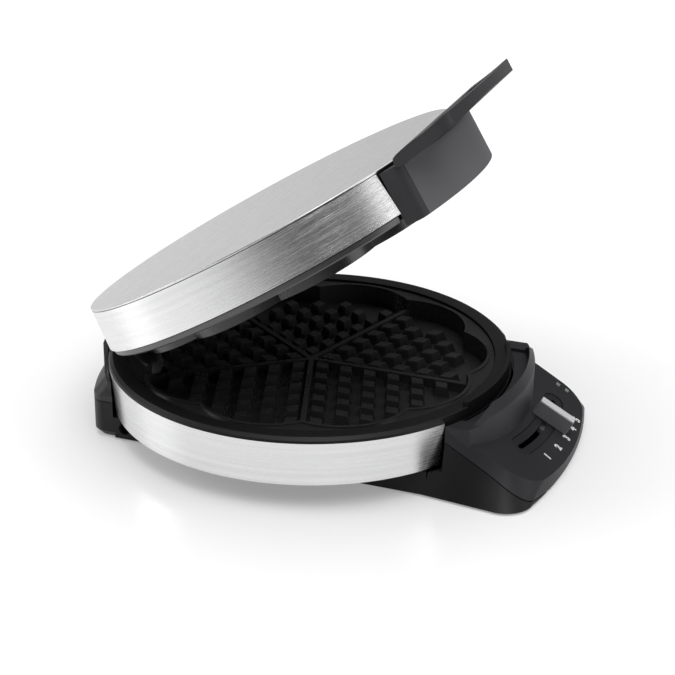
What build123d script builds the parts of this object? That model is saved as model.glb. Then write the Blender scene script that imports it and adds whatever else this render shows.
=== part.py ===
from build123d import *
import math
import os

os.makedirs("parts", exist_ok=True)

# Heart waffle maker, lid part open. Millimetres, +Z up.
# The origin is on the table under the middle of the whole machine. The handle
# and the temperature slider are at -Y, the hinge is at +Y.

# Driving dimensions of the round body
disc_y = 15.92          # the axis of the round body lies this far behind the origin
band_r = 115.0          # outer radius of both steel bands at their wide edge
band_foot_r = 113.2     # outer radius of both steel bands at their narrow edge
band_wall = 0.8
base_band_z0 = 15.0     # lower edge of the base band above the table
base_band_z1 = 39.8     # upper edge of the base band
rim_z = 42.7            # top of the black rim of the base
housing_half_w = 60.0   # the bands stop here on both sides of the handle
fit_gap = 0.1           # clearance between pieces that are fixed together

# Lid and hinge
hinge_y = 105.6         # measured from the axis of the round body
hinge_z = 51.1
lid_seat_z = 47.0       # lower edge of the lid band when the lid is shut
lid_open = 31.08        # degrees that the lid stands open
disc_top = 24.7         # top of the lid above the lower edge of its band
hinge_notch_half_w = 45.0

# Baking plates
flange_r = 104.0
lower_lip_outer = (101.8, 94.0)   # radius of the lobes, radius of the clefts
lower_lip_inner = (100.0, 92.0)
upper_lip_outer = (98.7, 90.7)
upper_lip_inner = (96.7, 88.7)
upper_back_r = (101.0, 93.0)
lobe_count = 10
heart_count = 5
first_cleft = -90.0     # degrees, seen from above
stud_pitch = 14.1
stud_half = 4.8
stud_h = 5.7
stud_taper = 12.0
stud_reach = 84.0       # studs stand within this radius
divider_w = 3.0
lower_divider_r = 93.0   # the dividers end inside the walls of the clefts
upper_divider_r = 89.5

# Feet, base and control housing
foot_z = 1.0            # the bottom cover hangs this far above the table
beam_half_w = 70.0
side_lean = 0.266       # the sides lean in by this much for each millimetre of height
panel_y = -115.0        # a point of the sloped panel
panel_z = 28.0
panel_slope = 28.8      # degrees
seam_depth = 6.5        # the side seam lies this far below the panel
shell_wall = 2.4
collar_z = 46.0


def turned(y, z, degrees):
    """Where a point of the shut lid goes when the lid opens by some degrees."""
    a = math.radians(degrees)
    dy = y - hinge_y
    dz = z - hinge_z
    return (
        hinge_y + dy * math.cos(a) + dz * math.sin(a),
        hinge_z - dy * math.sin(a) + dz * math.cos(a),
    )


# The base frame: its origin is on the table, on the axis of the round body.
base = Plane(origin=(0, disc_y, 0))
base_axis = Axis(base.origin, base.z_dir)
base_section = Plane(origin=base.origin, x_dir=(1, 0, 0), z_dir=(0, -1, 0))
base_side = Plane(origin=base.origin, x_dir=(0, 1, 0), z_dir=(1, 0, 0))

# The lid frame: its origin is the centre of the lid band's lower edge, its
# x axis runs along the hinge and its z axis is the lid's normal.
open_rad = math.radians(lid_open)
lid_y, lid_z = turned(0, lid_seat_z, lid_open)
lid = Plane(
    origin=(0, disc_y + lid_y, lid_z),
    x_dir=(1, 0, 0),
    z_dir=(0, math.sin(open_rad), math.cos(open_rad)),
)
lid_axis = Axis(lid.origin, lid.z_dir)
lid_section = Plane(origin=lid.origin, x_dir=(1, 0, 0), z_dir=-lid.y_dir)
lid_side = Plane(origin=lid.origin, x_dir=lid.y_dir, z_dir=(1, 0, 0))
axis_ly = hinge_y
axis_lz = hinge_z - lid_seat_z

# The sloped panel: its normal points up and forwards.
slope_rad = math.radians(panel_slope)
panel = Plane(
    origin=(0, disc_y + panel_y, panel_z),
    x_dir=(1, 0, 0),
    z_dir=(0, -math.sin(slope_rad), math.cos(slope_rad)),
)


def lobed(radii):
    """The outline of the five hearts: ten round lobes between ten clefts."""
    lobe_r, cleft_r = radii
    step = 360 / lobe_count
    with BuildLine() as outline:
        for i in range(lobe_count):
            a0 = math.radians(first_cleft + i * step)
            am = math.radians(first_cleft + (i + 0.5) * step)
            a1 = math.radians(first_cleft + (i + 1) * step)
            ThreePointArc(
                (cleft_r * math.cos(a0), cleft_r * math.sin(a0)),
                (lobe_r * math.cos(am), lobe_r * math.sin(am)),
                (cleft_r * math.cos(a1), cleft_r * math.sin(a1)),
            )
    return outline.edges()


def toe_outline(inset):
    """The outline of the control housing where it meets the table."""
    with BuildLine() as outline:
        back = -90.0
        corner = (71 - inset * 0.8, -141.5 + inset * 0.6)
        front = (60 - inset * 0.5, -147.3 + inset)
        l1 = Line((inset - beam_half_w, back), (inset - 74.2, -128))
        a1 = ThreePointArc(l1 @ 1, (-corner[0], corner[1]), (-front[0], front[1]))
        a2 = ThreePointArc(a1 @ 1, (0, -154.3 + inset), front)
        a3 = ThreePointArc(a2 @ 1, corner, (74.2 - inset, -128))
        l2 = Line(a3 @ 1, (beam_half_w - inset, back))
        Line(l2 @ 1, l1 @ 0)
    return outline.edges()


def panel_outline(inset):
    """The outline of the sloped panel, on the panel's own plane."""
    with BuildLine() as outline:
        back = 22.0
        corner = (54.6 - inset * 0.8, -31.5 + inset * 0.6)
        front = (44 - inset * 0.5, -39.4 + inset)
        l1 = Line((inset - 60, back), (inset - 58.2, -20))
        a1 = ThreePointArc(l1 @ 1, (-corner[0], corner[1]), (-front[0], front[1]))
        a2 = ThreePointArc(a1 @ 1, (0, -45 + inset), front)
        a3 = ThreePointArc(a2 @ 1, corner, (58.2 - inset, -20))
        l2 = Line(a3 @ 1, (60 - inset, back))
        Line(l2 @ 1, l1 @ 0)
    return outline.edges()


def toe_body(inset, floor, drop):
    """The wedge between the table and the sloped panel, with an inset skin."""
    with BuildPart() as body:
        with BuildSketch(base.offset(floor)):
            make_face(toe_outline(inset))
        with BuildSketch(panel.offset(-drop)):
            make_face(panel_outline(inset))
        loft(ruled=True)
    return body.part


def beam_body(inset, floor, top):
    """The low pan between toe and hinge housing; its sides lean in like the toe's."""
    front = -104.0 if inset else -91.0
    back = 100.0 if inset else 91.0
    with BuildPart() as body:
        with BuildSketch(Plane(origin=(0, disc_y + front, 0), x_dir=(-1, 0, 0), z_dir=(0, 1, 0))):
            with BuildLine():
                wide = beam_half_w - inset - side_lean * (floor - foot_z)
                narrow = beam_half_w - inset - side_lean * (top - foot_z)
                Polyline((-wide, floor), (wide, floor), (narrow, top), (-narrow, top), close=True)
            make_face()
        extrude(amount=back - front)
    return body.part


def rear_outline(inset):
    """The outline of the hinge housing seen from above."""
    with BuildLine() as outline:
        front = 78.0
        side = beam_half_w - inset
        l1 = Line((-side, front), (-side, 98.6 - inset))
        a1 = ThreePointArc(l1 @ 1, (-side + 1.6, 102.9 - inset), (-side + 6, 105.9 - inset))
        a2 = ThreePointArc(a1 @ 1, (0, 119.0 - inset), (side - 6, 105.9 - inset))
        a3 = ThreePointArc(a2 @ 1, (side - 1.6, 102.9 - inset), (side, 98.6 - inset))
        l2 = Line(a3 @ 1, (side, front))
        Line(l2 @ 1, l1 @ 0)
    return outline.edges()


def rear_body(inset, floor):
    """The hinge housing: upright below, leaning in above."""
    shoulder_z = 26.0
    top_z = 40.0 - inset
    lean = 9.0
    with BuildPart() as body:
        with BuildSketch(base.offset(floor)):
            make_face(rear_outline(inset + 2.0))
        with BuildSketch(base.offset(floor + 3.0)):
            make_face(rear_outline(inset))
        loft(ruled=True)
        with BuildSketch(base.offset(floor + 3.0)):
            make_face(rear_outline(inset))
        extrude(amount=shoulder_z - floor - 3.0)
        with BuildSketch(base.offset(shoulder_z)):
            make_face(rear_outline(inset))
        with BuildSketch(base.offset(top_z)):
            make_face(rear_outline(inset + lean))
        loft(ruled=True)
    return body.part


def keep(part):
    """Name the finished piece's file after its label."""
    export_step(part, f"parts/{part.label}.step")


# Base band: brushed steel strip round the base, open at the control housing.
with BuildPart() as base_band:
    with BuildSketch(base_section):
        with BuildLine():
            Polyline(
                (band_foot_r - band_wall, base_band_z0),
                (band_foot_r, base_band_z0),
                (band_r, base_band_z1),
                (band_r - band_wall, base_band_z1),
                close=True,
            )
        make_face()
    revolve(axis=base_axis)
    with BuildSketch(base):
        with Locations((0, -band_r)):
            Rectangle(2 * housing_half_w, 2 * 40)
    extrude(amount=60, mode=Mode.SUBTRACT)
base_band.part.label = "base_band"
keep(base_band.part)

# Base shell: the black tub. Its rim stands above the band and its ledge
# carries the lower plate.
tub_floor_z = 13.4
ledge_z = 38.8
rim_in_r = 104.4
tub_boss = [(-50, -66), (50, -66), (-50, 66), (50, 66)]
boss_r = 4.5
pilot_r = 1.6

with BuildPart() as base_shell:
    with BuildSketch(base_section):
        with BuildLine():
            Polyline(
                (band_foot_r - band_wall - fit_gap, base_band_z0 + fit_gap),
                (band_r - band_wall - fit_gap, base_band_z1 + fit_gap),
                (band_r - 0.1, base_band_z1 + fit_gap),
                (band_r - 0.6, base_band_z1 + 1.3),
                (112.6, rim_z),
                (rim_in_r, rim_z - 0.3),
                (rim_in_r, ledge_z),
                (101.4, ledge_z),
                (101.4, ledge_z - 2.0),
                (108.6, ledge_z - 5.2),
                (108.6, tub_floor_z + 4.2),
                (98.0, tub_floor_z + 2.2),
                (62.0, tub_floor_z + 2.2),
                (62.0, tub_floor_z),
                (100.0, tub_floor_z),
                close=True,
            )
        make_face()
    revolve(axis=base_axis)
    # The rim is narrower in the channel that takes the lid's front skirt.
    with BuildSketch(base.offset(36.0)):
        Circle(120.0)
        Circle(113.1, mode=Mode.SUBTRACT)
        with Locations((0, -band_r)):
            Rectangle(2 * housing_half_w, 60, mode=Mode.INTERSECT)
    extrude(amount=20, mode=Mode.SUBTRACT)
    # The rim is a little higher there.
    with BuildSketch(base.offset(rim_z - 1.0)):
        Circle(113.1)
        Circle(110.7, mode=Mode.SUBTRACT)
        with Locations((0, -band_r)):
            Rectangle(84, 60, mode=Mode.INTERSECT)
    extrude(amount=3.4)
    # Bosses for the screws that hold the bottom cover.
    with BuildSketch(base.offset(tub_floor_z)):
        with Locations(*tub_boss):
            Circle(boss_r)
    extrude(amount=4.2)
    with BuildSketch(base.offset(tub_floor_z)):
        with Locations(*tub_boss):
            Circle(pilot_r)
    extrude(amount=4.2, mode=Mode.SUBTRACT)
base_shell.part.label = "base_shell"
keep(base_shell.part)

# Bottom cover: the black pan between the control housing and the hinge
# housing, with straight sides under the round body.
pan_top_z = tub_floor_z - fit_gap
body_cut_r = 115.4
rear_seam_z = 22.0
outlet_y = 84.0         # the cord leaves through the left side wall
outlet_z = 8.0
outlet_r = 3.5
bushing_r = 5.2
foot_r = 7.0
foot_depth = 0.9
feet_at = [(-56, -128), (56, -128), (-56, 94), (56, 94)]
screw_head_z = 8.0
hidden_floor = foot_z + shell_wall
band_end_z = 14.5       # above this the housing leaves the ends of the band free
band_end_at = [(-70.3, -89.5), (70.3, -89.5)]
band_end_size = (20.0, 19.0)

seam = panel.offset(-seam_depth)
toe_solid = toe_body(0, foot_z, 0)
toe_hollow = split(
    toe_body(shell_wall, foot_z, shell_wall),
    bisect_by=Plane(origin=(0, disc_y - 101.4, 0), z_dir=(0, -1, 0)),
    keep=Keep.TOP,
)
toe_hollow = split(toe_hollow, bisect_by=base.offset(hidden_floor), keep=Keep.TOP)
toe_low = split(toe_solid, bisect_by=seam, keep=Keep.BOTTOM)
rear_solid = rear_body(0, foot_z)
rear_hollow = rear_body(shell_wall, hidden_floor)
rear_low = split(rear_solid, bisect_by=base.offset(rear_seam_z), keep=Keep.BOTTOM)

with BuildPart() as bottom_cover:
    add(beam_body(0, foot_z, pan_top_z))
    add(toe_low)
    add(rear_low)
    with BuildSketch(base.offset(pan_top_z)):
        Circle(body_cut_r)
    extrude(amount=40, mode=Mode.SUBTRACT)
    add(toe_hollow, mode=Mode.SUBTRACT)
    add(rear_hollow, mode=Mode.SUBTRACT)
    add(beam_body(shell_wall, hidden_floor, pan_top_z), mode=Mode.SUBTRACT)
    with BuildSketch(base.offset(band_end_z)):
        with Locations(*band_end_at):
            Rectangle(*band_end_size)
    extrude(amount=40, mode=Mode.SUBTRACT)
    with BuildSketch(base.offset(foot_z)):
        with Locations(*tub_boss):
            Circle(boss_r)
    extrude(amount=pan_top_z - foot_z)
    with BuildSketch(base.offset(foot_z)):
        with Locations(*tub_boss):
            Circle(pilot_r)
    extrude(amount=20, mode=Mode.SUBTRACT)
    with BuildSketch(base.offset(foot_z)):
        with Locations(*tub_boss):
            Circle(3.3)
    extrude(amount=screw_head_z - foot_z, mode=Mode.SUBTRACT)
    with BuildSketch(base.offset(foot_z)):
        with Locations(*feet_at):
            Circle(foot_r + fit_gap)
    extrude(amount=foot_depth + fit_gap, mode=Mode.SUBTRACT)
    with BuildSketch(base_side.offset(-beam_half_w - 1)):
        with Locations((outlet_y, outlet_z)):
            Circle(bushing_r - 1 + fit_gap)
    extrude(amount=6, mode=Mode.SUBTRACT)
bottom_cover.part.label = "bottom_cover"
keep(bottom_cover.part)

# Feet: four rubber discs set into the bottom cover.
with BuildPart() as feet:
    with BuildSketch(base):
        with Locations(*feet_at):
            Circle(foot_r)
    extrude(amount=foot_z + foot_depth)
feet.part.label = "feet"
keep(feet.part)

# Base screws: they pull the bottom cover up against the tub.
with BuildPart() as base_screws:
    with BuildSketch(base.offset(screw_head_z - 2.0)):
        with Locations(*tub_boss):
            Circle(3.0)
    extrude(amount=2.0)
    with BuildSketch(base.offset(screw_head_z)):
        with Locations(*tub_boss):
            Circle(pilot_r - fit_gap)
    extrude(amount=9.0)
    with BuildSketch(base.offset(screw_head_z - 2.0)):
        with Locations(*tub_boss):
            Rectangle(3.6, 0.8)
            Rectangle(0.8, 3.6)
    extrude(amount=1.0, mode=Mode.SUBTRACT)
base_screws.part.label = "base_screws"
keep(base_screws.part)

# Cord bushing: a flanged sleeve in the left side wall of the bottom cover.
with BuildPart() as cord_bushing:
    with BuildSketch(base_side.offset(-beam_half_w - 1.6)):
        with Locations((outlet_y, outlet_z)):
            Circle(bushing_r)
    extrude(amount=1.5)
    with BuildSketch(base_side.offset(-beam_half_w - 1.6)):
        with Locations((outlet_y, outlet_z)):
            Circle(bushing_r - 1)
    extrude(amount=8)
    with BuildSketch(base_side.offset(-beam_half_w - 1.6)):
        with Locations((outlet_y, outlet_z)):
            Circle(outlet_r)
    extrude(amount=8, mode=Mode.SUBTRACT)
cord_bushing.part.label = "cord_bushing"
keep(cord_bushing.part)

# Terminal block: the cord's wires end here, on the floor of the bottom cover.
with BuildPart() as terminal_block:
    with BuildSketch(base.offset(hidden_floor + fit_gap)):
        with Locations((-34, 82)):
            Rectangle(22, 12)
    extrude(amount=7)
    with BuildSketch(base.offset(hidden_floor + fit_gap + 7)):
        with Locations((-34, 82)):
            with GridLocations(7, 6, 3, 2):
                Circle(2.0)
    extrude(amount=-4, mode=Mode.SUBTRACT)
terminal_block.part.label = "terminal_block"
keep(terminal_block.part)

# Rear hinge housing: it closes the back above the seam and carries two ears.
ear_x0 = 27.5
ear_x1 = 34.0
ear_r = 4.6
pin_r = 2.0
pin_bore_r = 2.05

with BuildPart() as rear_hinge_housing:
    add(split(rear_solid, bisect_by=base.offset(rear_seam_z + 0.4), keep=Keep.TOP))
    add(rear_hollow, mode=Mode.SUBTRACT)
    # The wall that faces the band stays.
    with BuildSketch(base.offset(rear_seam_z + 0.4)):
        Circle(body_cut_r + 2.0)
        with Locations((0, 100)):
            Rectangle(2 * beam_half_w - 3, 44, mode=Mode.INTERSECT)
    extrude(amount=12)
    with BuildSketch(base.offset(rear_seam_z)):
        Circle(body_cut_r)
    extrude(amount=40, mode=Mode.SUBTRACT)
    for side in (-1, 1):
        ear_plane = base_side.offset(ear_x0 if side > 0 else -ear_x1)
        with BuildSketch(ear_plane):
            with Locations((hinge_y, hinge_z)):
                Circle(ear_r)
            with BuildLine():
                Polyline(
                    (112.4, 26.0),
                    (115.2, 26.0),
                    (115.2, 40.0),
                    (hinge_y + ear_r - 0.3, hinge_z + 1.6),
                    (hinge_y, hinge_z),
                    (hinge_y, hinge_z - ear_r),
                    (112.4, 43.6),
                    close=True,
                )
            make_face()
            with Locations((hinge_y, hinge_z)):
                Circle(pin_bore_r, mode=Mode.SUBTRACT)
        extrude(amount=ear_x1 - ear_x0)
rear_hinge_housing.part.label = "rear_hinge_housing"
keep(rear_hinge_housing.part)

# Hinge pins: two headed steel pins through the ears and the lid's knuckles.
knuckle_x0 = 20.5
knuckle_x1 = 27.0
knuckle_r = 5.0

with BuildPart() as hinge_pins:
    for side in (-1, 1):
        with BuildSketch(base_side.offset(side * (ear_x1 + 0.1))):
            with Locations((hinge_y, hinge_z)):
                Circle(pin_r + 1.3)
        extrude(amount=side * 1.2)
        with BuildSketch(base_side.offset(side * (ear_x1 + 0.1))):
            with Locations((hinge_y, hinge_z)):
                Circle(pin_r)
        extrude(amount=side * (knuckle_x0 - ear_x1 - 0.6))
hinge_pins.part.label = "hinge_pins"
keep(hinge_pins.part)

# Control housing: the upper shell of the slider's housing with the collar
# that stands behind the lid's front skirt.
collar_in_r = 123.5
collar_out_r = 126.9
channel_z = 36.4
collar_end_x = 50.0
collar_end_z = 38.2
slot_centre = (8.0, 125.5)   # the slider's arc is centred here on the panel's plane
slot_r = 150.0
slider_deg = 1.03       # where the knob stands, measured from the straight-down line
track_deg = (-14.1, 9.8)
track_w = 12.0
track_t = 1.4
track_gap = 0.35        # a fine groove shows round the track
slot_deg = (-14.7, 9.6)
slot_w = 3.0
lens_at = [(52.9, -19.7), (52.9, -25.8)]
lens_size = (3.0, 2.4)


def track_arc(ends):
    """An arc along the middle of the slider's track, on the panel's plane."""
    with BuildLine() as arc:
        CenterArc(slot_centre, slot_r, -90 + ends[0], ends[1] - ends[0])
    return arc.edges()[0]


with BuildPart() as shoulder:
    with BuildSketch(base_section):
        with BuildLine():
            Polyline(
                (body_cut_r, 12.0),
                (body_cut_r, channel_z),
                (collar_in_r + 1.0, channel_z),
                (collar_out_r, 29.0),
                (collar_out_r, 12.0),
                close=True,
            )
        make_face()
    revolve(axis=base_axis)
    # Both ends stand as high as the band's upper edge.
    with BuildSketch(base_section):
        with BuildLine():
            Polyline(
                (body_cut_r, 12.0),
                (body_cut_r, collar_end_z),
                (collar_out_r - 0.6, collar_end_z),
                (collar_out_r, collar_end_z - 0.8),
                (collar_out_r, 12.0),
                close=True,
            )
        make_face()
    revolve(axis=base_axis)
    with BuildSketch(base.offset(channel_z)):
        with Locations((0, -band_r)):
            Rectangle(2 * collar_end_x, 60)
    extrude(amount=10, mode=Mode.SUBTRACT)
    with BuildSketch(base):
        with Locations((0, -band_r)):
            Rectangle(2 * housing_half_w, 60)
    extrude(amount=60, mode=Mode.INTERSECT)
    split(bisect_by=panel.offset(-shell_wall), keep=Keep.TOP)

# The shoulder is hollow from below.
with BuildPart() as shoulder_core:
    with BuildSketch(base_section):
        with BuildLine():
            Polyline((118.0, 10), (118.0, channel_z - 2.4), (121.0, channel_z - 2.4), (121.0, 10), close=True)
        make_face()
    revolve(axis=base_axis)
    with BuildSketch(base):
        with Locations((0, -band_r)):
            Rectangle(2 * housing_half_w - 12, 60)
    extrude(amount=60, mode=Mode.INTERSECT)

with BuildPart() as collar:
    with BuildSketch(base_section):
        with BuildLine():
            Polyline(
                (collar_in_r, channel_z - 3.0),
                (collar_in_r, collar_z),
                (collar_out_r - 0.4, 41.2),
                (collar_out_r, 40.4),
                (collar_out_r, 12.0),
                (collar_in_r + 1.0, 12.0),
                close=True,
            )
        make_face()
    revolve(axis=base_axis)
    with BuildSketch(Plane(origin=(0, disc_y - 90, 0), x_dir=(1, 0, 0), z_dir=(0, -1, 0))):
        with BuildLine():
            Polyline((-57, 8), (-57, 35.9), (-38, 46.2), (38, 46.2), (57, 35.9), (57, 8), close=True)
        make_face()
    extrude(amount=60, mode=Mode.INTERSECT)
    split(bisect_by=panel.offset(-shell_wall), keep=Keep.TOP)

seam_gap = panel.offset(0.4 - seam_depth)
with BuildPart() as control_housing:
    add(toe_solid)
    with BuildSketch(base):
        Circle(body_cut_r)
    extrude(amount=60, mode=Mode.SUBTRACT)
    add(toe_hollow, mode=Mode.SUBTRACT)
    add(shoulder.part)
    add(collar.part)
    add(shoulder_core.part, mode=Mode.SUBTRACT)
    split(bisect_by=seam_gap, keep=Keep.TOP)
    with BuildSketch(base.offset(band_end_z)):
        with Locations(*band_end_at):
            Rectangle(*band_end_size)
    extrude(amount=40, mode=Mode.SUBTRACT)
    with BuildSketch(panel.offset(-track_t - fit_gap)):
        SlotArc(track_arc(track_deg), track_w + 2 * track_gap)
    extrude(amount=8, mode=Mode.SUBTRACT)
    with BuildSketch(panel.offset(-12)):
        SlotArc(track_arc(slot_deg), slot_w + 2.0)
    extrude(amount=12, mode=Mode.SUBTRACT)
    with BuildSketch(panel.offset(-8)):
        with Locations(*lens_at):
            Rectangle(lens_size[0] + 2 * fit_gap, lens_size[1] + 2 * fit_gap)
    extrude(amount=12, mode=Mode.SUBTRACT)
control_housing.part.label = "control_housing"
keep(control_housing.part)

# Slider track: a curved strip set flush into the panel, with the slot.
with BuildPart() as slider_track:
    with BuildSketch(panel.offset(-track_t)):
        SlotArc(track_arc(track_deg), track_w)
        SlotArc(track_arc(slot_deg), slot_w, mode=Mode.SUBTRACT)
    extrude(amount=track_t - 0.4)
slider_track.part.label = "slider_track"
keep(slider_track.part)

# Slider: the knob above the track, its light strip and the carriage below.
# Its own plane turns about the centre of the track.
knob_v = -26.4 - slot_centre[1]
knob_plane = Plane(panel.location * Location((*slot_centre, 0), (0, 0, slider_deg)))
knob_len = 22.2
knob_w = 6.2
knob_h = 8.8
strip_len = 21.4
strip_w = 5.4
strip_t = 1.0
stem_r = 1.2
stem_top = 4.5
carriage_top = -3.6

with BuildPart() as slider_knob:
    with BuildSketch(knob_plane.offset(0.3)):
        with Locations((0, knob_v)):
            RectangleRounded(knob_w, knob_len, 0.8)
    extrude(amount=knob_h - 0.3)
    with BuildSketch(knob_plane.offset(knob_h - strip_t / 2)):
        with Locations((0, knob_v)):
            RectangleRounded(strip_w + 2 * fit_gap, strip_len + 2 * fit_gap, 0.6)
    extrude(amount=2, mode=Mode.SUBTRACT)
    with BuildSketch(knob_plane):
        with Locations((0, -slot_r)):
            Circle(stem_r + fit_gap)
    extrude(amount=stem_top + fit_gap, mode=Mode.SUBTRACT)
slider_knob.part.label = "slider_knob"
keep(slider_knob.part)

with BuildPart() as slider_strip:
    with BuildSketch(knob_plane.offset(knob_h - strip_t / 2 + fit_gap)):
        with Locations((0, knob_v)):
            RectangleRounded(strip_w, strip_len, 0.5)
    extrude(amount=strip_t)
slider_strip.part.label = "slider_strip"
keep(slider_strip.part)

with BuildPart() as slider_carriage:
    with BuildSketch(knob_plane.offset(carriage_top - 2.6)):
        with Locations((0, -slot_r)):
            RectangleRounded(13, 13, 1.5)
    extrude(amount=2.6)
    with BuildSketch(knob_plane.offset(carriage_top)):
        with Locations((0, -slot_r)):
            Circle(stem_r)
    extrude(amount=stem_top - carriage_top)
slider_carriage.part.label = "slider_carriage"
keep(slider_carriage.part)

# Indicator lenses and the small board that lights them.
with BuildPart() as power_lens:
    with BuildSketch(panel.offset(-4.0)):
        with Locations(lens_at[0]):
            RectangleRounded(*lens_size, 0.5)
    extrude(amount=4.2)
power_lens.part.label = "power_lens"
keep(power_lens.part)

with BuildPart() as ready_lens:
    with BuildSketch(panel.offset(-4.0)):
        with Locations(lens_at[1]):
            RectangleRounded(*lens_size, 0.5)
    extrude(amount=4.2)
ready_lens.part.label = "ready_lens"
keep(ready_lens.part)

with BuildPart() as indicator_board:
    with BuildSketch(panel.offset(-6.6)):
        with Locations((48.4, -22.7)):
            RectangleRounded(12, 12, 1.0)
    extrude(amount=1.6)
    with BuildSketch(panel.offset(-5.0)):
        with Locations(*lens_at):
            Circle(0.9)
    extrude(amount=0.8)
indicator_board.part.label = "indicator_board"
keep(indicator_board.part)


def stud_centres():
    """Rows of studs parallel to both straight edges of the heart at -54 degrees."""
    lean = 2 * math.pi / heart_count
    centres = []
    for i in range(6):
        for j in range(6):
            a = (i + 0.5) * stud_pitch
            b = (j + 0.5) * stud_pitch
            x = b * math.sin(lean)
            y = -a - b * math.cos(lean)
            if math.hypot(x, y) < stud_reach:
                centres.append((x, y))
    return centres


def stud_outline():
    """One stud seen from above: a rhombus along the same two edges."""
    lean = 2 * math.pi / heart_count
    ux, uy = 0.0, -stud_half
    vx, vy = stud_half * math.sin(lean), -stud_half * math.cos(lean)
    return [(ux + vx, uy + vy), (vx - ux, vy - uy), (-ux - vx, -uy - vy), (ux - vx, uy - vy)]


with BuildPart() as stud_field:
    with BuildSketch():
        for cx, cy in stud_centres():
            with BuildLine():
                Polyline(*[(cx + sx, cy + sy) for sx, sy in stud_outline()], close=True)
            make_face()
    extrude(amount=stud_h + 1.0, taper=stud_taper)
heart_studs = stud_field.part

# Lower plate: cast aluminium with five hearts of studs. Its flange rests on
# the ledge of the tub.
flange_top = 41.0
lip_top = 42.0
recess_z = 30.0
plate_wall = 3.0
divider_top = 35.5
plate_screw_at = [(-34, -30), (34, -30), (-34, 30), (34, 30)]
plate_boss_h = 8.1

with BuildPart() as lower_plate:
    with BuildSketch(base.offset(flange_top - 2.0)):
        Circle(flange_r)
    extrude(amount=2.0)
    with BuildSketch(base.offset(recess_z - plate_wall)):
        make_face(lobed((101.0, 93.2)))
    extrude(amount=flange_top - recess_z + plate_wall)
    with BuildSketch(base.offset(flange_top - 1.0)):
        make_face(lobed(lower_lip_outer))
    extrude(amount=lip_top - flange_top + 1.0)
    with BuildSketch(base.offset(lip_top)):
        make_face(lobed(lower_lip_inner))
    extrude(amount=recess_z - lip_top, mode=Mode.SUBTRACT)
    for i in range(heart_count):
        turn = Location((0, 0, recess_z - 1.0), (0, 0, i * 360 / heart_count))
        add(base.location * turn * heart_studs)
    with BuildSketch(base.offset(recess_z)):
        with PolarLocations(lower_divider_r / 2, heart_count, start_angle=first_cleft):
            Rectangle(lower_divider_r, divider_w)
    extrude(amount=divider_top - recess_z)
    with BuildSketch(base.offset(recess_z - plate_wall)):
        with Locations(*plate_screw_at):
            Circle(4.0)
    extrude(amount=-plate_boss_h)
    with BuildSketch(base.offset(recess_z - plate_wall - plate_boss_h)):
        with Locations(*plate_screw_at):
            Circle(1.5)
    extrude(amount=plate_boss_h, mode=Mode.SUBTRACT)
lower_plate.part.label = "lower_plate"
keep(lower_plate.part)

# Heaters: a sheathed rod bent to most of a circle under the hearts, with both
# ends turned down.
heater_ring_r = 62.0
heater_rod_r = 3.2


def heater(plane, centre_z, down):
    """A rod round the plate's axis, open towards the hinge, with two tails."""
    gap = 18.0
    ring_plane = plane.offset(centre_z)
    a0 = math.radians(90 + gap)
    x0 = heater_ring_r * math.cos(a0)
    y0 = heater_ring_r * math.sin(a0)
    with BuildPart() as rod:
        with BuildLine(ring_plane):
            CenterArc((0, 0), heater_ring_r, 90 + gap, 360 - 2 * gap)
        with BuildSketch(Plane(origin=ring_plane.from_local_coords((x0, y0, 0)),
                               z_dir=ring_plane.from_local_coords((-math.sin(a0), math.cos(a0), 0))
                               - ring_plane.origin)):
            Circle(heater_rod_r)
        sweep()
        with BuildSketch(ring_plane):
            with Locations((x0, y0), (-x0, y0)):
                Circle(heater_rod_r)
        extrude(amount=down)
    return rod.part


lower_heater_z = recess_z - plate_wall - fit_gap - heater_rod_r
lower_heater = heater(base, lower_heater_z, -7.0)
lower_heater.label = "lower_heater"
keep(lower_heater)

# Heat shields: thin pressed pans between the heaters and the plastic.
shield_t = 0.8
with BuildPart() as lower_heat_shield:
    with BuildSketch(base_section):
        with BuildLine():
            Polyline(
                (0, 18.0), (90.0, 18.0), (96.0, 24.0),
                (96.0, 24.0 + shield_t), (89.6, 18.0 + shield_t), (0, 18.0 + shield_t),
                close=True,
            )
        make_face()
    revolve(axis=base_axis)
    with BuildSketch(base):
        with Locations((0, heater_ring_r)):
            Rectangle(52, 14)
        with Locations(*plate_screw_at):
            Circle(1.8)
    extrude(amount=40, mode=Mode.SUBTRACT)
lower_heat_shield.part.label = "lower_heat_shield"
keep(lower_heat_shield.part)

# Plate screws: they hold the heat shield against the bosses of the plate.
with BuildPart() as lower_plate_screws:
    with BuildSketch(base.offset(17.9)):
        with Locations(*plate_screw_at):
            Circle(3.0)
    extrude(amount=-1.9)
    with BuildSketch(base.offset(17.9)):
        with Locations(*plate_screw_at):
            Circle(1.4)
    extrude(amount=8.0)
lower_plate_screws.part.label = "lower_plate_screws"
keep(lower_plate_screws.part)

# Thermostat and thermal fuse: both stand against the underside of the plate.
with BuildPart() as thermostat:
    with BuildSketch(base.offset(19.2)):
        Circle(8.0)
    extrude(amount=4.0)
    with BuildSketch(base.offset(23.2)):
        Circle(6.0)
    extrude(amount=recess_z - plate_wall - fit_gap - 23.2)
thermostat.part.label = "thermostat"
keep(thermostat.part)

with BuildPart() as thermal_fuse:
    with BuildSketch(Plane(origin=(24, disc_y, 24.4), x_dir=(0, 1, 0), z_dir=(1, 0, 0))):
        Circle(2.2)
    extrude(amount=14)
    with BuildSketch(Plane(origin=(18, disc_y, 24.4), x_dir=(0, 1, 0), z_dir=(1, 0, 0))):
        Circle(0.6)
    extrude(amount=26)
thermal_fuse.part.label = "thermal_fuse"
keep(thermal_fuse.part)

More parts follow.
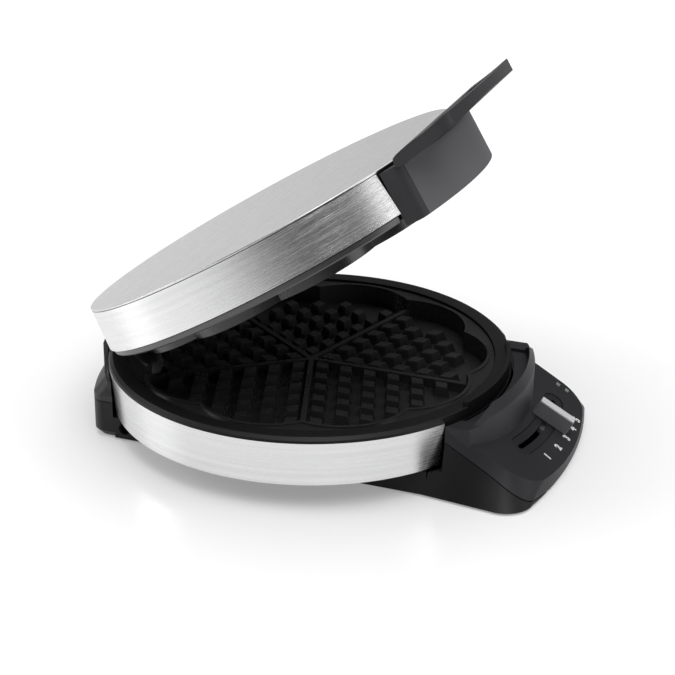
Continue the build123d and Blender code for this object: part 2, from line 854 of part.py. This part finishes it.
# Lid band: brushed steel strip, open at the handle and at the hinge.
with BuildPart() as lid_band:
    with BuildSketch(lid_section):
        with BuildLine():
            Polyline(
                (band_r - band_wall, 0), (band_r, 0),
                (band_foot_r, disc_top - 1.4), (band_foot_r - band_wall, disc_top - 1.4),
                close=True,
            )
        make_face()
    revolve(axis=lid_axis)
    with BuildSketch(lid.offset(-5)):
        with Locations((0, -band_r)):
            Rectangle(2 * housing_half_w, 80)
        with Locations((0, band_r)):
            Rectangle(2 * hinge_notch_half_w, 40)
    extrude(amount=40, mode=Mode.SUBTRACT)
lid_band.part.label = "lid_band"
keep(lid_band.part)

# Lid top: a brushed steel disc with a softened edge.
with BuildPart() as lid_top:
    with BuildSketch(lid.offset(disc_top - 1.0)):
        Circle(band_foot_r)
    extrude(amount=1.0)
    fillet(lid_top.edges().sort_by(lid_axis)[-1], 0.45)
lid_top.part.label = "lid_top"
keep(lid_top.part)

# Lid trim: a satin metal ring under the band's lower edge.
trim_z0 = -4.0
trim_z1 = -0.8
with BuildPart() as lid_trim:
    with BuildSketch(lid_section):
        with BuildLine():
            Polyline(
                (110.9, trim_z1), (110.9, trim_z0 + 0.6), (111.4, trim_z0),
                (112.8, trim_z0), (113.4, trim_z0 + 0.7), (113.4, trim_z1),
                close=True,
            )
        make_face()
    revolve(axis=lid_axis)
    with BuildSketch(lid.offset(-8)):
        with Locations((0, -band_r)):
            Rectangle(2 * housing_half_w + 1.0, 80)
        with Locations((0, band_r)):
            Rectangle(2 * hinge_notch_half_w + 1.0, 40)
    extrude(amount=20, mode=Mode.SUBTRACT)
lid_trim.part.label = "lid_trim"
keep(lid_trim.part)

# Lid shell: the black ring inside the band. It holds the upper plate's flange.
upper_flange_z0 = -4.2
upper_flange_z1 = -2.2
shell_notch_y = 91.6
with BuildPart() as lid_shell:
    with BuildSketch(lid_section):
        with BuildLine():
            Polyline(
                (flange_r + 0.4, -3.4), (110.6, -3.4), (110.6, trim_z1 + fit_gap),
                (band_r - band_wall - 0.3, trim_z1 + fit_gap),
                (band_r - band_wall - 0.3, 0.0),
                (band_foot_r - band_wall - 0.2, disc_top - 1.2),
                (109.6, disc_top - 1.2),
                (111.0, 2.0), (101.6, 2.0), (101.6, upper_flange_z1 + 0.2),
                (flange_r + 0.4, upper_flange_z1 + 0.2),
                close=True,
            )
        make_face()
    revolve(axis=lid_axis)
    with BuildSketch(lid.offset(-8)):
        with Locations((0, shell_notch_y + 20)):
            Rectangle(2 * hinge_notch_half_w, 40)
    extrude(amount=40, mode=Mode.SUBTRACT)
lid_shell.part.label = "lid_shell"
keep(lid_shell.part)

# Lid rear cover: it closes the lid at the hinge and carries two knuckles.
cover_y0 = 92.0
cover_y1 = 95.0
cover_z0 = 4.6          # the wall stands on the back of the upper plate
with BuildPart() as lid_rear_cover:
    with BuildSketch(lid.offset(cover_z0)):
        with Locations((0, (cover_y0 + cover_y1) / 2)):
            Rectangle(2 * hinge_notch_half_w - 0.6, cover_y1 - cover_y0)
    extrude(amount=disc_top - 1.3 - cover_z0)
    for side in (-1, 1):
        knuckle_plane = lid_side.offset(knuckle_x0 if side > 0 else -knuckle_x1)
        with BuildSketch(knuckle_plane):
            with Locations((axis_ly, axis_lz)):
                Circle(knuckle_r)
            with BuildLine():
                Polyline(
                    (cover_y0 + 1, cover_z0), (axis_ly - 4.0, cover_z0), (axis_ly, axis_lz),
                    (axis_ly, axis_lz + knuckle_r), (cover_y0 + 1, disc_top - 4.0),
                    close=True,
                )
            make_face()
            with Locations((axis_ly, axis_lz)):
                Circle(pin_bore_r, mode=Mode.SUBTRACT)
        extrude(amount=knuckle_x1 - knuckle_x0)
lid_rear_cover.part.label = "lid_rear_cover"
keep(lid_rear_cover.part)

# Upper plate: the lower plate's counterpart. Its wall hangs into the lower
# lip when the lid is shut, and a notch on each side lets batter out.
upper_wall_z = -11.0
upper_recess_z = 1.2
upper_back_z = 4.2
notch_deg = (-144.0, -36.0)
notch_z = -6.0
plate_chord_y = 99.0

hanging_studs = mirror(heart_studs, about=Plane.XY)
with BuildPart() as upper_plate:
    with BuildSketch(lid.offset(upper_flange_z0)):
        Circle(flange_r)
        with Locations((0, plate_chord_y + 10)):
            Rectangle(100, 20, mode=Mode.SUBTRACT)
    extrude(amount=upper_flange_z1 - upper_flange_z0)
    with BuildSketch(lid.offset(upper_flange_z0 + 1)):
        make_face(lobed(upper_back_r))
    extrude(amount=upper_back_z - upper_flange_z0 - 1)
    with BuildSketch(lid.offset(upper_wall_z)):
        make_face(lobed(upper_lip_outer))
    extrude(amount=upper_recess_z - upper_wall_z)
    with BuildSketch(lid.offset(upper_wall_z)):
        make_face(lobed(upper_lip_inner))
    extrude(amount=upper_recess_z - upper_wall_z, mode=Mode.SUBTRACT)
    for i in range(heart_count):
        turn = Location((0, 0, upper_recess_z + 1.0), (0, 0, i * 360 / heart_count))
        add(lid.location * turn * hanging_studs)
    with BuildSketch(lid.offset(upper_recess_z)):
        with PolarLocations(upper_divider_r / 2, heart_count, start_angle=first_cleft):
            Rectangle(upper_divider_r, divider_w)
    extrude(amount=-(divider_top - recess_z))
    for angle in notch_deg:
        a = math.radians(angle)
        notch_plane = Plane(
            origin=lid.from_local_coords((88 * math.cos(a), 88 * math.sin(a), upper_wall_z)),
            x_dir=lid.from_local_coords((-math.sin(a), math.cos(a), 0)) - lid.origin,
            z_dir=lid.from_local_coords((math.cos(a), math.sin(a), 0)) - lid.origin,
        )
        with BuildSketch(notch_plane):
            with BuildLine():
                Polyline((-6, -1), (0, upper_wall_z - notch_z), (6, -1), close=True)
            make_face()
        extrude(amount=20, mode=Mode.SUBTRACT)
    with BuildSketch(lid.offset(upper_back_z)):
        with Locations(*plate_screw_at):
            Circle(4.0)
    extrude(amount=plate_boss_h)
    with BuildSketch(lid.offset(upper_back_z)):
        with Locations(*plate_screw_at):
            Circle(1.5)
    extrude(amount=plate_boss_h, mode=Mode.SUBTRACT)
upper_plate.part.label = "upper_plate"
keep(upper_plate.part)

upper_heater_z = upper_back_z + fit_gap + heater_rod_r
upper_heater = heater(lid, upper_heater_z, 6.0)
upper_heater.label = "upper_heater"
keep(upper_heater)

with BuildPart() as upper_heat_shield:
    with BuildSketch(lid_section):
        with BuildLine():
            Polyline(
                (0, 12.4), (92.0, 12.4), (98.0, 7.0),
                (98.8, 7.4), (92.4, 12.4 + shield_t), (0, 12.4 + shield_t),
                close=True,
            )
        make_face()
    revolve(axis=lid_axis)
    with BuildSketch(lid):
        with Locations((0, heater_ring_r)):
            Rectangle(52, 14)
        with Locations((0, 110)):
            Rectangle(100, 2 * (110 - 88))
        with Locations(*plate_screw_at):
            Circle(1.8)
    extrude(amount=40, mode=Mode.SUBTRACT)
upper_heat_shield.part.label = "upper_heat_shield"
keep(upper_heat_shield.part)

with BuildPart() as upper_plate_screws:
    with BuildSketch(lid.offset(12.5 + shield_t)):
        with Locations(*plate_screw_at):
            Circle(3.0)
    extrude(amount=1.9)
    with BuildSketch(lid.offset(12.5 + shield_t)):
        with Locations(*plate_screw_at):
            Circle(1.4)
    extrude(amount=-8.0)
upper_plate_screws.part.label = "upper_plate_screws"
keep(upper_plate_screws.part)

# Handle frame: the black front of the lid with the visor that is its handle.
frame_in_r = 114.4
frame_out_r = 122.8
frame_z0 = -7.0
frame_z1 = 22.6
insert_deg = 26.4
insert_t = 1.6
insert_z1 = 21.4
visor_top = [
    (-107.3, 24.9), (-107.9, 26.2), (-110.8, 27.8), (-117.4, 29.6),
    (-124.8, 30.9), (-132.0, 32.4), (-140.9, 34.6), (-149.4, 35.9),
]
visor_low = [
    (-149.4, 30.8), (-146.5, 29.0), (-140.9, 27.4), (-132.0, 25.4),
    (-124.8, 23.9), (-117.4, 22.6), (-112.0, 21.6),
]
neck_y = -110.8         # in front of this line the frame reaches up into the visor
neck_z = 25.4
visor_front_r = 330.0
visor_reach = 148.5
grip_r0 = 128.0
grip_r1 = 144.0
grip_half_w = 38.0

visor_w = 2 * housing_half_w - 0.6


def insert_wedge(margin):
    """The sector that the front insert fills, seen from the lid's top."""
    half = math.radians(insert_deg)
    reach = 140.0
    across = reach * math.sin(half)
    down = -reach * math.cos(half)
    with BuildLine() as outline:
        Polyline((0, 2 * margin), (-across, down + 2 * margin), (across, down + 2 * margin), close=True)
    return outline.edges()


with BuildPart() as visor:
    with BuildSketch(lid_side.offset(-visor_w / 2)):
        with BuildLine():
            top = Spline(*visor_top)
            Line(top @ 1, visor_low[0])
            low = Spline(*visor_low)
            Polyline(low @ 1, (-107.3, 21.8), (-107.3, 24.9))
        make_face()
    extrude(amount=visor_w)
    with BuildSketch(lid.offset(10)) as plan:
        with Locations((0, visor_front_r - visor_reach)):
            Circle(visor_front_r)
        with Locations((0, -130)):
            Rectangle(visor_w, 60, mode=Mode.INTERSECT)
        fillet(plan.vertices().sort_by(Axis.Y)[:2], 9.0)
    extrude(amount=50, mode=Mode.INTERSECT)
    with BuildSketch(lid.offset(10)) as grip:
        Circle(grip_r1)
        Circle(grip_r0, mode=Mode.SUBTRACT)
        with Locations((0, -136)):
            Rectangle(2 * grip_half_w, 40, mode=Mode.INTERSECT)
        fillet(grip.vertices(), 4.0)
    extrude(amount=40, mode=Mode.SUBTRACT)
    # It passes over the lid's top.
    with BuildSketch(lid.offset(10)):
        Circle(frame_in_r)
    extrude(amount=disc_top + 0.2 - 10, mode=Mode.SUBTRACT)

with BuildPart() as handle_frame:
    with BuildSketch(lid.offset(frame_z0)) as foot_ring:
        Circle(frame_out_r)
        Circle(frame_in_r, mode=Mode.SUBTRACT)
        with Locations((0, -95)):
            Rectangle(visor_w, 56, mode=Mode.INTERSECT)
        fillet(foot_ring.vertices().sort_by(Axis.Y)[:2], 5.5)
    extrude(amount=frame_z1 - frame_z0)
    with BuildSketch(lid.offset(frame_z1 - 1)):
        Circle(frame_out_r)
        Circle(frame_in_r, mode=Mode.SUBTRACT)
        with Locations((0, neck_y - 10)):
            Rectangle(visor_w, 20, mode=Mode.INTERSECT)
    extrude(amount=neck_z - frame_z1 + 1)
    add(visor.part)
    with BuildSketch(lid.offset(frame_z0 - 1)):
        Circle(frame_out_r + 2)
        Circle(frame_out_r - insert_t - 0.2, mode=Mode.SUBTRACT)
        make_face(insert_wedge(fit_gap), mode=Mode.INTERSECT)
    extrude(amount=insert_z1 + fit_gap - frame_z0 + 1, mode=Mode.SUBTRACT)
handle_frame.part.label = "handle_frame"
keep(handle_frame.part)

# Front insert: a textured panel let into the front of the handle frame.
with BuildPart() as front_insert:
    with BuildSketch(lid.offset(frame_z0)):
        Circle(frame_out_r - 0.1)
        Circle(frame_out_r - insert_t - 0.1, mode=Mode.SUBTRACT)
        make_face(insert_wedge(0), mode=Mode.INTERSECT)
    extrude(amount=insert_z1 - frame_z0)
front_insert.part.label = "front_insert"
keep(front_insert.part)
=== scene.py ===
import math

import bpy
from mathutils import Matrix, Vector


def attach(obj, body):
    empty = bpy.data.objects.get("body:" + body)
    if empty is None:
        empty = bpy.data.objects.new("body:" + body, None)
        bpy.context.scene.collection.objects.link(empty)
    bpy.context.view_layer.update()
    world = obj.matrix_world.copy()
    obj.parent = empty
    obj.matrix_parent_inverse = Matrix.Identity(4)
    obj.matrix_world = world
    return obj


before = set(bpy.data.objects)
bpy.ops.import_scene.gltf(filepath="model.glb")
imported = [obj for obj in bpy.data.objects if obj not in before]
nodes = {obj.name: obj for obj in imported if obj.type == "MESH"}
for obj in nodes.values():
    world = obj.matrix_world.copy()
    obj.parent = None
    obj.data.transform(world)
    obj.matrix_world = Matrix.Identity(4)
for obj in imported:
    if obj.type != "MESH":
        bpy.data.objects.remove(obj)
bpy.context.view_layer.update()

# The round lid: a stainless sheet disc on a drawn steel band, both brushed.
# The disc is brushed along one direction; the band is brushed along its length.
# Both sit on the black lid shell, which holds them with folded tabs.

hinge_line = Vector((0.0, 0.12152, 0.0511))
lid_open = math.radians(31.08)
lid_seat = 0.047
disc_axis_y = hinge_line.y - 0.1056
band_radius = 0.115
fine_along = 14.0
fine_across = 3200.0
streak_along = 5.0
streak_across = 420.0
scratch_depth = 0.0002


def lid_origin():
    """The centre of the lid band's lower edge, with the lid part open."""
    back = disc_axis_y - hinge_line.y
    drop = lid_seat - hinge_line.z
    return Vector((
        0.0,
        hinge_line.y + back * math.cos(lid_open) + drop * math.sin(lid_open),
        hinge_line.z - back * math.sin(lid_open) + drop * math.cos(lid_open),
    ))


class Socket:
    """A shader value that can be used in Python expressions."""

    def __init__(self, finish, socket):
        self.finish = finish
        self.socket = socket

    def math(self, operation, other):
        return self.finish.node("ShaderNodeMath", {"operation": operation}, {0: self, 1: other})

    def __add__(self, other):
        return self.math("ADD", other)

    def __sub__(self, other):
        return self.math("SUBTRACT", other)

    def __mul__(self, other):
        return self.math("MULTIPLY", other)


class Finish:
    """A node material for one finish of this machine."""

    def __init__(self, name):
        self.material = bpy.data.materials.new(name)
        self.material.use_nodes = True
        self.tree = self.material.node_tree
        self.shader = self.tree.nodes["Principled BSDF"]

    def node(self, kind, settings, inputs, output=0):
        """Adds a node: its settings first, then its sockets, by name or number."""
        made = self.tree.nodes.new(kind)
        for key, value in settings.items():
            setattr(made, key, value)
        for key, value in inputs.items():
            self.feed(made.inputs[key], value)
        return Socket(self, made.outputs[output])

    def feed(self, socket, value):
        """Links a socket to an expression, or gives it a plain value."""
        if isinstance(value, Socket):
            self.tree.links.new(value.socket, socket)
        else:
            socket.default_value = value

    def set(self, **inputs):
        """Sets or links the shader's own sockets."""
        for key, value in inputs.items():
            self.feed(self.shader.inputs[key.replace("_", " ")], value)

    def place(self):
        """The point on the piece, in metres of the machine's frame."""
        return self.node("ShaderNodeTexCoord", {}, {}, "Object")

    def split(self, vector):
        """The three numbers of a vector."""
        made = self.tree.nodes.new("ShaderNodeSeparateXYZ")
        self.feed(made.inputs[0], vector)
        return [Socket(self, made.outputs[i]) for i in range(3)]

    def join(self, x, y, z):
        """A vector of three numbers."""
        return self.node("ShaderNodeCombineXYZ", {}, {0: x, 1: y, 2: z})

    def noise(self, where, scale, detail=2.0, roughness=0.5):
        """Smooth random numbers about 0.5."""
        return self.node(
            "ShaderNodeTexNoise", {},
            {"Vector": where, "Scale": scale, "Detail": detail, "Roughness": roughness})

    def range(self, value, low, high, to_low, to_high):
        """A number moved from one range to another and held inside it."""
        return self.node(
            "ShaderNodeMapRange", {"clamp": True},
            {"Value": value, "From Min": low, "From Max": high, "To Min": to_low, "To Max": to_high})

    def mix(self, factor, first, second):
        """A colour between two colours."""
        made = self.tree.nodes.new("ShaderNodeMix")
        made.data_type = "RGBA"
        self.feed(made.inputs[0], factor)
        self.feed(made.inputs[6], first)
        self.feed(made.inputs[7], second)
        return Socket(self, made.outputs[2])

    def bump(self, height, strength, depth):
        """A surface normal from a height."""
        return self.node(
            "ShaderNodeBump", {},
            {"Strength": strength, "Distance": depth, "Height": height})


def dress(finish, *names):
    """Gives a finish to CAD pieces, in each of their material slots."""
    for name in names:
        piece = nodes[name]
        for place in piece.material_slots:
            place.material = finish.material
        if not piece.material_slots:
            piece.data.materials.append(finish.material)


def grey(level):
    """A neutral colour for a socket."""
    return (level, level, level, 1.0)


def lid_point(finish):
    """The point on the lid, in the shut lid's own directions."""
    origin = lid_origin()
    x, y, z = finish.split(finish.place())
    forward = (y - origin.y) * math.cos(lid_open) - (z - origin.z) * math.sin(lid_open)
    upward = (y - origin.y) * math.sin(lid_open) + (z - origin.z) * math.cos(lid_open)
    return x, forward, upward


def steel(finish, along, across, base_level, grooves):
    """Brushed stainless sheet: fine scratches along, broad soft streaks across."""
    fine = finish.noise(finish.join(along * fine_along, across * fine_across, 0.0), 1.0, 4.0, 0.7)
    broad = finish.noise(finish.join(along * streak_along, across * streak_across, 3.0), 1.0, 2.0, 0.6)
    tone = finish.range(fine, 0.25, 0.75, -0.05, 0.05) + finish.range(broad, 0.3, 0.7, -0.035, 0.035)
    level = tone + base_level
    finish.set(
        Base_Color=finish.node("ShaderNodeCombineColor", {}, {0: level, 1: level, 2: level * 1.004}),
        Metallic=1.0,
        Roughness=finish.range(fine, 0.2, 0.8, 0.20, 0.32),
        Normal=finish.bump(fine, grooves, scratch_depth))


lid_steel = Finish("lid_disc_brushed")
x, forward, upward = lid_point(lid_steel)
steel(lid_steel, x, forward, 0.72, 0.25)
dress(lid_steel, "lid_top")

band_steel = Finish("lid_band_brushed")
x, forward, upward = lid_point(band_steel)
around = band_steel.node("ShaderNodeMath", {"operation": "ARCTAN2"}, {0: x, 1: forward}) * band_radius
steel(band_steel, around, upward, 0.80, 0.35)
dress(band_steel, "lid_band")

# Trim ring under the lid's band: a drawn metal ring with a dark satin finish.
# It clips over the lower edge of the lid shell.

trim_satin = Finish("trim_satin")
grain = trim_satin.noise(trim_satin.place(), 900.0, 3.0)
trim_satin.set(
    Base_Color=trim_satin.mix(grain, grey(0.11), grey(0.15)),
    Metallic=1.0,
    Roughness=trim_satin.range(grain, 0.3, 0.7, 0.32, 0.42))
dress(trim_satin, "lid_trim")

# Black mouldings: the lid shell, the tub, the bottom cover and the two hinge
# covers are injection moulded in black plastic with a fine spark-eroded skin.


def moulded(name, dark, light, rough, depth):
    """Moulded plastic: a fine even grain with a little drift in its tone."""
    finish = Finish(name)
    skin = finish.noise(finish.place(), 2600.0, 3.0, 0.6)
    drift = finish.noise(finish.place(), 14.0, 2.0)
    finish.set(
        Base_Color=finish.mix(finish.range(drift, 0.35, 0.65, 0.0, 1.0), (*dark, 1.0), (*light, 1.0)),
        Roughness=finish.range(skin, 0.3, 0.7, rough - 0.05, rough + 0.07),
        Normal=finish.bump(skin, 0.3, depth),
        Specular_IOR_Level=0.28)
    return finish


shell_black = moulded("shell_black", (0.007, 0.007, 0.008), (0.010, 0.010, 0.011), 0.44, 0.00008)
dress(shell_black, "base_shell", "bottom_cover", "lid_shell")
# The two hinge covers take a lighter copy of this black: painted light, standing for the lamp light that
# falls on the back of the machine.
hinge_painted_light_black = moulded("hinge_painted_light_black", (0.036, 0.036, 0.038), (0.043, 0.043, 0.045), 0.46, 0.00008)
dress(hinge_painted_light_black, "rear_hinge_housing", "lid_rear_cover")

# Handle frame and its front insert: the frame is moulded in one piece with the
# visor that serves as the handle, and the grained insert is let into its front.

frame_black = moulded("frame_black", (0.034, 0.034, 0.037), (0.041, 0.041, 0.044), 0.46, 0.00010)
dress(frame_black, "handle_frame")
insert_grain = moulded("insert_grain", (0.118, 0.115, 0.124), (0.140, 0.137, 0.147), 0.60, 0.00030)
dress(insert_grain, "front_insert")

# Baking plates: die-cast aluminium with a dark sprayed nonstick coating, cured
# to a soft gloss with the slight waviness of the casting under it.

nonstick = Finish("nonstick_coating")
speck = nonstick.noise(nonstick.place(), 1800.0, 2.0)
wave = nonstick.noise(nonstick.place(), 60.0, 2.0)
nonstick.set(
    Base_Color=nonstick.mix(speck, grey(0.018), grey(0.030)),
    Roughness=nonstick.range(wave, 0.3, 0.7, 0.24, 0.36),
    Normal=nonstick.bump(speck * 0.3 + wave * 0.7, 0.15, 0.0002))
nonstick.shader.inputs["Coat Weight"].default_value = 0.25
nonstick.shader.inputs["Coat Roughness"].default_value = 0.2
dress(nonstick, "lower_plate", "upper_plate")

# Base band: the same brushed stainless strip as the lid's, bent round the tub.
# It is open at the front, where the control housing stands.

base_steel = Finish("base_band_brushed")
x, y, z = base_steel.split(base_steel.place())
around = base_steel.node("ShaderNodeMath", {"operation": "ARCTAN2"}, {0: x, 1: y - disc_axis_y}) * band_radius
steel(base_steel, around, z, 0.72, 0.12)
dress(base_steel, "base_band")

# Control housing: moulded in black plastic, a little lighter than the tub.
# The slider's track is a separate smoother strip of the same tone let into it.

panel_black = moulded("panel_black", (0.022, 0.022, 0.025), (0.027, 0.027, 0.031), 0.46, 0.00008)
dress(panel_black, "control_housing")

track_black = moulded("track_smooth_black", (0.019, 0.019, 0.021), (0.023, 0.023, 0.026), 0.40, 0.00002)
dress(track_black, "slider_track")

# Slider: a moulded grey knob with a light strip pressed into its top. The
# carriage under the panel is moulded in the same plastic.

knob_plastic = moulded("knob_plastic", (0.140, 0.140, 0.146), (0.165, 0.165, 0.172), 0.4, 0.00006)
dress(knob_plastic, "slider_knob", "slider_carriage")
strip_white = moulded("strip_white", (0.60, 0.60, 0.61), (0.66, 0.66, 0.67), 0.35, 0.00003)
dress(strip_white, "slider_strip")

# Indicator lenses: two small pins moulded in clear tinted plastic. They are
# pressed into the panel above the indicator board.


def lens(name, colour):
    """Tinted plastic with a little variation in depth of colour."""
    finish = Finish(name)
    cloud = finish.noise(finish.place(), 500.0, 2.0)
    dark = tuple(value * 0.8 for value in colour)
    finish.set(
        Base_Color=finish.mix(cloud, (*dark, 1.0), (*colour, 1.0)),
        Roughness=finish.range(cloud, 0.3, 0.7, 0.12, 0.2))
    return finish


dress(lens("lens_clear_power", (0.30, 0.28, 0.28)), "power_lens")
dress(lens("lens_clear_ready", (0.28, 0.30, 0.28)), "ready_lens")

# Rubber: four feet and the cord bushing, moulded in black rubber. They are
# pressed into holes of the bottom cover.

rubber = moulded("rubber_black", (0.016, 0.016, 0.016), (0.022, 0.022, 0.022), 0.7, 0.00010)
dress(rubber, "feet", "cord_bushing")

# Inner pieces: sheathed heaters, pressed shields, zinc plated screws and pins,
# the thermostat, the fuse, the terminal block and the indicator board.


def inner(name, dark, light, metallic, rough):
    """A plain inner finish with a fine mottle."""
    finish = Finish(name)
    mottle = finish.noise(finish.place(), 700.0, 3.0)
    finish.set(
        Base_Color=finish.mix(mottle, (*dark, 1.0), (*light, 1.0)),
        Metallic=metallic,
        Roughness=finish.range(mottle, 0.3, 0.7, rough - 0.06, rough + 0.06))
    return finish


dress(inner("heater_sheath", (0.20, 0.19, 0.18), (0.28, 0.27, 0.26), 1.0, 0.5),
      "lower_heater", "upper_heater")
dress(inner("shield_sheet", (0.62, 0.62, 0.63), (0.70, 0.70, 0.71), 1.0, 0.35),
      "lower_heat_shield", "upper_heat_shield")
dress(inner("zinc_plate", (0.50, 0.50, 0.49), (0.60, 0.60, 0.58), 1.0, 0.35),
      "base_screws", "lower_plate_screws", "upper_plate_screws", "hinge_pins")
dress(inner("phenolic", (0.30, 0.24, 0.17), (0.36, 0.29, 0.21), 0.0, 0.5), "thermostat")
dress(inner("fuse_can", (0.55, 0.55, 0.55), (0.63, 0.63, 0.63), 1.0, 0.3), "thermal_fuse")
dress(inner("terminal_nylon", (0.70, 0.70, 0.67), (0.76, 0.76, 0.73), 0.0, 0.4), "terminal_block")
dress(inner("circuit_board", (0.03, 0.17, 0.07), (0.04, 0.22, 0.09), 0.0, 0.35), "indicator_board")

# Dial numbers: the five heat settings are pad printed in white beside the
# slider's track, on the sloped panel.

panel_slope = math.radians(28.8)
panel_point = Vector((0.0, disc_axis_y - band_radius, 0.028))
panel_up = Vector((0.0, math.cos(panel_slope), math.sin(panel_slope)))
panel_out = Vector((0.0, -math.sin(panel_slope), math.cos(panel_slope)))
dial_centre = (0.008, 0.1255)
ink_lift = 0.00006
number_size = 0.0060
stroke_spread = 0.00032
number_places = (
    (-0.0226, -0.0349), (-0.0075, -0.0375), (0.0066, -0.0391),
    (0.0193, -0.0394), (0.0304, -0.0390))


def on_panel(u, v, lift):
    """A point of the sloped panel."""
    return panel_point + Vector((u, 0.0, 0.0)) + panel_up * v + panel_out * lift


def printed_number(text, u, v, turn):
    """A printed number as flat faces lying on the panel."""
    curve = bpy.data.curves.new("print_" + text, "FONT")
    curve.body = text
    curve.size = number_size
    curve.align_x = "CENTER"
    curve.align_y = "CENTER"
    curve.extrude = ink_lift
    curve.offset = stroke_spread
    shape = bpy.data.objects.new("print_shape_" + text, curve)
    bpy.context.scene.collection.objects.link(shape)
    mesh = bpy.data.meshes.new_from_object(shape)
    bpy.data.objects.remove(shape)
    right = Vector((1.0, 0.0, 0.0))
    place = Matrix.Translation(on_panel(u, v, ink_lift))
    axes = Matrix((right, panel_up, panel_out)).transposed().to_4x4()
    mesh.transform(place @ axes @ Matrix.Rotation(turn, 4, "Z"))
    piece = bpy.data.objects.new("dial_number_" + text, mesh)
    bpy.context.scene.collection.objects.link(piece)
    return piece


ink = moulded("white_ink", (0.72, 0.72, 0.72), (0.78, 0.78, 0.78), 0.5, 0.00002)
for step, (u, v) in enumerate(number_places):
    swing = math.atan2(u - dial_centre[0], dial_centre[1] - v)
    number = printed_number(str(step + 1), u, v, swing)
    number.data.materials.append(ink.material)
    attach(number, "base")

# Floor: a plain white studio table that keeps the machine's soft shadow and a faint reflection. To the camera
# it glows white away from the machine; the glow is weaker close round it, a painted shade that deepens its
# soft shadow.

table_size = 4.4
table_drop = 0.0002
bpy.ops.mesh.primitive_plane_add(size=table_size, location=(0.0, 0.0, -table_drop))
table = bpy.context.object
table.name = "studio_table"
table_white = Finish("table_white")
haze = table_white.noise(table_white.place(), 3.0, 2.0)
path = table_white.tree.nodes.new("ShaderNodeLightPath")
looked_at = Socket(table_white, path.outputs["Is Camera Ray"])
mirrored = Socket(table_white, path.outputs["Is Glossy Ray"])
away = table_white.node("ShaderNodeVectorMath", {"operation": "LENGTH"}, {0: table_white.place()}, "Value")
# Weaker glow within about 0.26 m of the machine than further out: painted shade round the machine.
near_glow_painted_shade = table_white.range(away, 0.13, 0.26, 0.29, 0.45)
far_glow = table_white.range(away, 0.26, 1.6, 0.0, 0.60)
glow = looked_at * (near_glow_painted_shade + far_glow) + mirrored * 0.34
table_white.set(
    Base_Color=table_white.mix(haze, grey(0.72), grey(0.74)),
    Roughness=table_white.range(haze, 0.3, 0.7, 0.20, 0.26),
    Emission_Color=table_white.node("ShaderNodeCombineColor", {}, {0: glow, 1: glow, 2: glow}),
    Emission_Strength=1.0)
table.data.materials.append(table_white.material)

# Lamps: a big softbox above, one behind the camera at the left, one at the front
# right and one at the back, in a room that is pale above and dark at the horizon.


def softbox(name, place, target, width, height, watts):
    """A rectangular lamp that faces a target."""
    light = bpy.data.lights.new(name, "AREA")
    light.shape = "RECTANGLE"
    light.size = width
    light.size_y = height
    light.energy = watts
    lamp = bpy.data.objects.new(name, light)
    bpy.context.scene.collection.objects.link(lamp)
    lamp.location = place
    lamp.rotation_euler = (Vector(target) - Vector(place)).to_track_quat("-Z", "Y").to_euler()


softbox("lamp_top", (0.1, 0.1, 1.7), (0, 0, 0), 1.8, 1.8, 14.0)
softbox("lamp_left", (-0.95, -0.6, 1.8), (0, 0, 0.1), 0.8, 1.0, 9.0)
softbox("lamp_front", (0.1, -1.6, 0.75), (0, 0, 0.1), 0.9, 0.7, 4.4)
softbox("lamp_back", (-0.45, 1.6, 0.7), (0, 0, 0.1), 0.8, 0.9, 9.0)

world = bpy.data.worlds.new("pale_room")
world.use_nodes = True
bpy.context.scene.world = world
room = world.node_tree
background = room.nodes["Background"]
seen = room.nodes.new("ShaderNodeBackground")
seen.inputs["Color"].default_value = grey(1.0)
seen.inputs["Strength"].default_value = 1.0
direction = room.nodes.new("ShaderNodeTexCoord")
parts = room.nodes.new("ShaderNodeSeparateXYZ")
walls = room.nodes.new("ShaderNodeValToRGB")
walls.color_ramp.elements[0].position = 0.02
walls.color_ramp.elements[0].color = grey(0.95)
walls.color_ramp.elements[1].position = 0.85
walls.color_ramp.elements[1].color = grey(0.70)
walls.color_ramp.elements.new(0.19).color = grey(0.035)
walls.color_ramp.elements.new(0.46).color = grey(0.035)
room.links.new(direction.outputs["Generated"], parts.inputs[0])
room.links.new(parts.outputs["Z"], walls.inputs[0])
room.links.new(walls.outputs["Color"], background.inputs["Color"])
background.inputs["Strength"].default_value = 0.8
path = room.nodes.new("ShaderNodeLightPath")
either = room.nodes.new("ShaderNodeMixShader")
room.links.new(path.outputs["Is Camera Ray"], either.inputs[0])
room.links.new(background.outputs[0], either.inputs[1])
room.links.new(seen.outputs[0], either.inputs[2])
room.links.new(either.outputs[0], room.nodes["World Output"].inputs["Surface"])
bpy.context.scene.view_settings.view_transform = "Standard"

# Camera: the photograph's viewpoint, with the whole machine in a square frame.
# It is a long lens that looks a little down on the machine's left side.

camera_azimuth = math.radians(-69.802)
camera_elevation = math.radians(23.944)
camera_roll = math.radians(0.592)
camera_distance = 0.97463
camera_target = Vector((-0.000223, disc_axis_y - 0.015783, 0.050997))
right_level = Vector((math.cos(camera_azimuth), math.sin(camera_azimuth), 0.0))
backward = Vector((
    math.sin(camera_azimuth) * math.cos(camera_elevation),
    -math.cos(camera_azimuth) * math.cos(camera_elevation),
    math.sin(camera_elevation)))
up_level = backward.cross(right_level)
right = right_level * math.cos(camera_roll) + up_level * math.sin(camera_roll)
upward_dir = up_level * math.cos(camera_roll) - right_level * math.sin(camera_roll)
lens_data = bpy.data.cameras.new("photo_camera")
lens_data.lens = 92.006
lens_data.sensor_width = 36.0
lens_data.clip_start = 0.05
photo_camera = bpy.data.objects.new("photo_camera", lens_data)
bpy.context.scene.collection.objects.link(photo_camera)
axes = Matrix((right, upward_dir, backward)).transposed().to_4x4()
photo_camera.matrix_world = Matrix.Translation(camera_target + backward * camera_distance) @ axes
bpy.context.scene.camera = photo_camera
